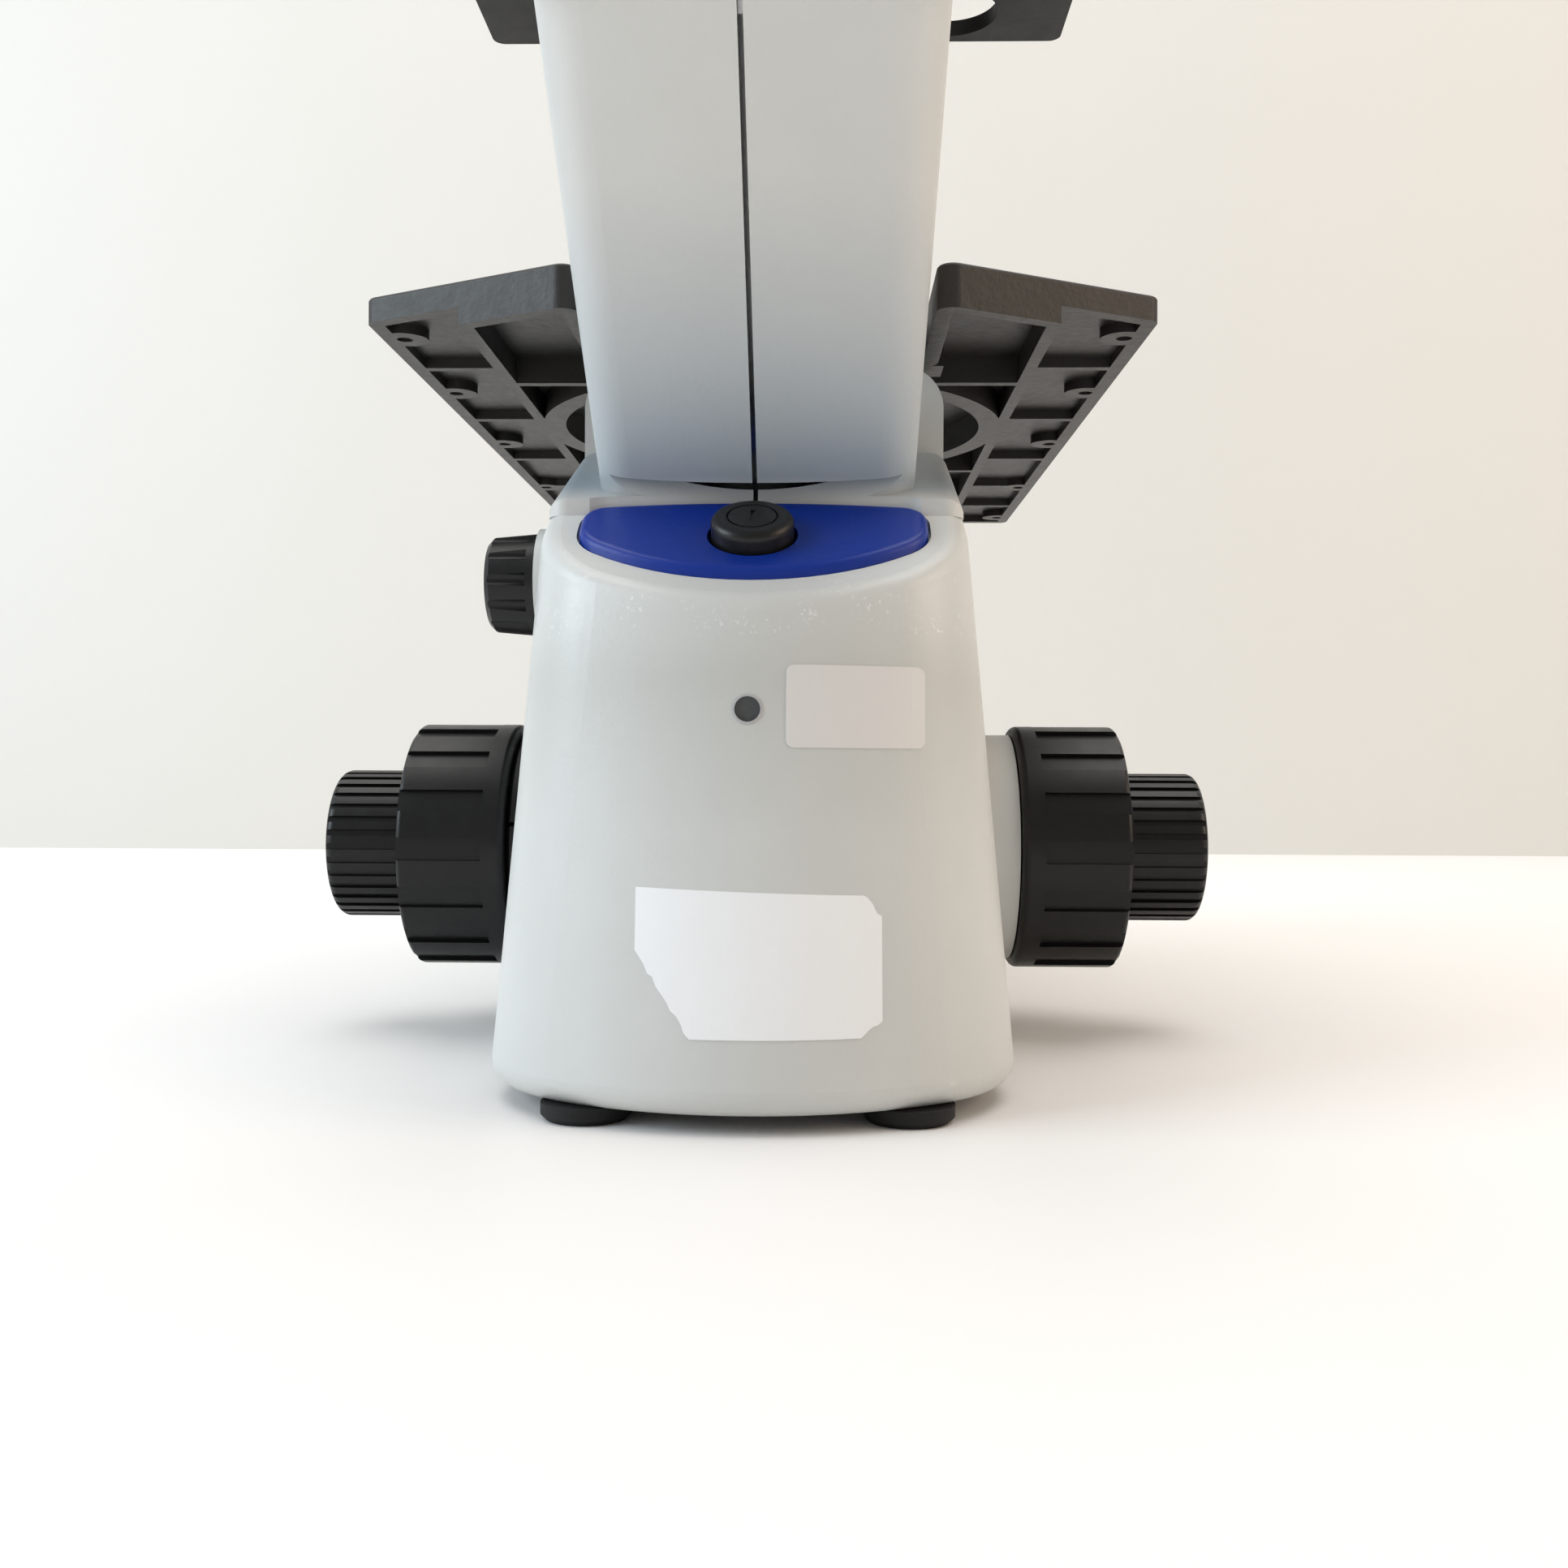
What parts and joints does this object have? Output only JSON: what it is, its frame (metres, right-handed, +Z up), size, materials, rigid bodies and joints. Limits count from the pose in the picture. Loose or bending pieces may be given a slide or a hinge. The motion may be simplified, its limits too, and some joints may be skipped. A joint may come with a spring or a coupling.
{
  "type": "inverted microscope",
  "caption": "Compact inverted microscope: lamp and condenser over a ribbed stage, turning nosepiece below, coaxial focus knobs and tilted eyepieces",
  "frame": {"origin": "on the bench, under the middle of the whole outline", "axes": "X to the user's right, Y from the user to the rear, Z up"},
  "size_m": [0.1988, 0.432, 0.432],
  "materials": {
    "light_grey_paint": "satin, fine orange peel",
    "black_paint": "matt, fine texture",
    "blue_panel": "satin",
    "black_plastic": "satin",
    "steel": "brushed",
    "brass": "turned",
    "aluminium": "machined",
    "chrome": "polished",
    "glass": "polished",
    "mirror": "polished",
    "sensor_dark": "gloss",
    "rubber": "matt",
    "board_green": "gloss"
  },
  "bodies": {
    "stand": {"base_plate": "steel", "rubber_feet": "rubber", "base_screws": "steel", "circuit_board": "board_green", "power_inlet": "black_plastic", "base_housing": "light_grey_paint", "sensor_window": "sensor_dark", "dust_plate": "black_paint", "front_panel": "blue_panel", "switch_body": "black_plastic", "button_spring": "steel", "neck_cover_left": "light_grey_paint", "neck_cover_right": "light_grey_paint", "neck_flange": "aluminium", "light_tube": "aluminium", "tube_lens": "glass", "main_mirror": "mirror", "mirror_holder": "aluminium", "stage_plate": "black_paint", "stage_insert": "black_paint", "stage_screws": "steel", "stage_arch": "light_grey_paint", "stage_bracket": "light_grey_paint", "side_boss_right": "light_grey_paint", "side_boss_left": "black_paint", "focus_block": "aluminium", "shaft_bushes": "brass", "guide_rails": "steel", "pillar_housing": "light_grey_paint", "lamp_house": "light_grey_paint", "lamp_board": "aluminium", "collector_lens": "glass", "condenser_rail": "steel", "binocular_housing": "light_grey_paint"},
    "coarse_focus": {"coarse_knob_left": "black_plastic", "coarse_knob_right": "black_plastic", "coarse_shaft": "steel", "focus_pinion": "steel"},
    "fine_focus": {"fine_knob_left": "black_plastic", "fine_knob_right": "black_plastic", "fine_shaft": "steel"},
    "tension_ring": {"tension_ring": "black_plastic"},
    "focus_carriage": {"focus_carriage": "aluminium", "focus_rack": "brass"},
    "nosepiece": {"nosepiece_ring": "chrome", "objective_low": "chrome", "objective_middle": "chrome", "objective_high": "chrome"},
    "power_button": {"button_cap": "black_plastic"},
    "light_dial": {"light_dial": "black_plastic"},
    "left_eyepiece": {"eyepiece_arm_left": "black_paint", "eyepiece_left": "black_plastic"},
    "right_eyepiece": {"eyepiece_arm_right": "black_paint", "eyepiece_right": "black_plastic"},
    "diopter_ring": {"diopter_ring": "black_plastic"},
    "condenser": {"condenser_carrier": "black_paint", "condenser_body": "black_paint", "condenser_lens": "glass"},
    "iris_lever": {"iris_lever": "steel"},
    "phase_slider": {"phase_slider": "black_plastic"}
  },
  "joints": [
    {"name": "coarse_focus", "type": "hinge", "parent": "stand", "child": "coarse_focus", "pos_m": [0, 0.011, 0.0429], "axis": [1, 0, 0], "range_deg": [-90.5, 19.5]},
    {"name": "fine_focus", "type": "hinge", "parent": "coarse_focus", "child": "fine_focus", "pos_m": [0, 0.011, 0.0429], "axis": [1, 0, 0], "continuous": true},
    {"name": "tension_ring", "type": "hinge", "parent": "stand", "child": "tension_ring", "pos_m": [-0.0525, 0.011, 0.0429], "axis": [1, 0, 0], "range_deg": [-40, 40]},
    {"name": "carriage_slide", "type": "slide", "parent": "stand", "child": "focus_carriage", "axis": [0, 0, 1], "range_m": [-0.0094, 0.002]},
    {"name": "nosepiece_turn", "type": "hinge", "parent": "focus_carriage", "child": "nosepiece", "pos_m": [0, 0.06441, 0.09954], "axis": [0, 0.2588, 0.9659], "continuous": true},
    {"name": "power_button", "type": "slide", "parent": "stand", "child": "power_button", "axis": [0, 0.5736, -0.8192], "range_m": [0, 0.002], "stiffness_N_per_m": 800, "deforming": ["button_spring"]},
    {"name": "light_dial", "type": "hinge", "parent": "stand", "child": "light_dial", "pos_m": [-0.0475, -0.0475, 0.0967], "axis": [1, 0, 0], "range_deg": [-135, 135]},
    {"name": "right_arm", "type": "hinge", "parent": "stand", "child": "right_eyepiece", "pos_m": [0, -0.14309, 0.22909], "axis": [0, -0.7071, 0.7071], "range_deg": [-33, 17]},
    {"name": "left_arm", "type": "hinge", "parent": "stand", "child": "left_eyepiece", "pos_m": [0, -0.14309, 0.22909], "axis": [0, -0.7071, 0.7071], "range_deg": [-17, 33]},
    {"name": "diopter_ring", "type": "hinge", "parent": "left_eyepiece", "child": "diopter_ring", "pos_m": [-0.03145, -0.15623, 0.27111], "axis": [0, -0.7071, 0.7071], "range_deg": [-150, 150]},
    {"name": "condenser_slide", "type": "slide", "parent": "stand", "child": "condenser", "axis": [0, 0, 1], "range_m": [0, 0.05]},
    {"name": "iris_lever", "type": "hinge", "parent": "condenser", "child": "iris_lever", "pos_m": [0, 0.045, 0.2445], "axis": [0, 0, 1], "range_deg": [-30, 30]},
    {"name": "phase_slider", "type": "slide", "parent": "condenser", "child": "phase_slider", "axis": [1, 0, 0], "range_m": [-0.04, 0.04]}
  ],
  "couplings": [
    {"joint": "coarse_focus", "follows": "carriage_slide", "rad_per_m": 166.67},
    {"joint": "left_arm", "follows": "right_arm", "ratio": -1}
  ]
}
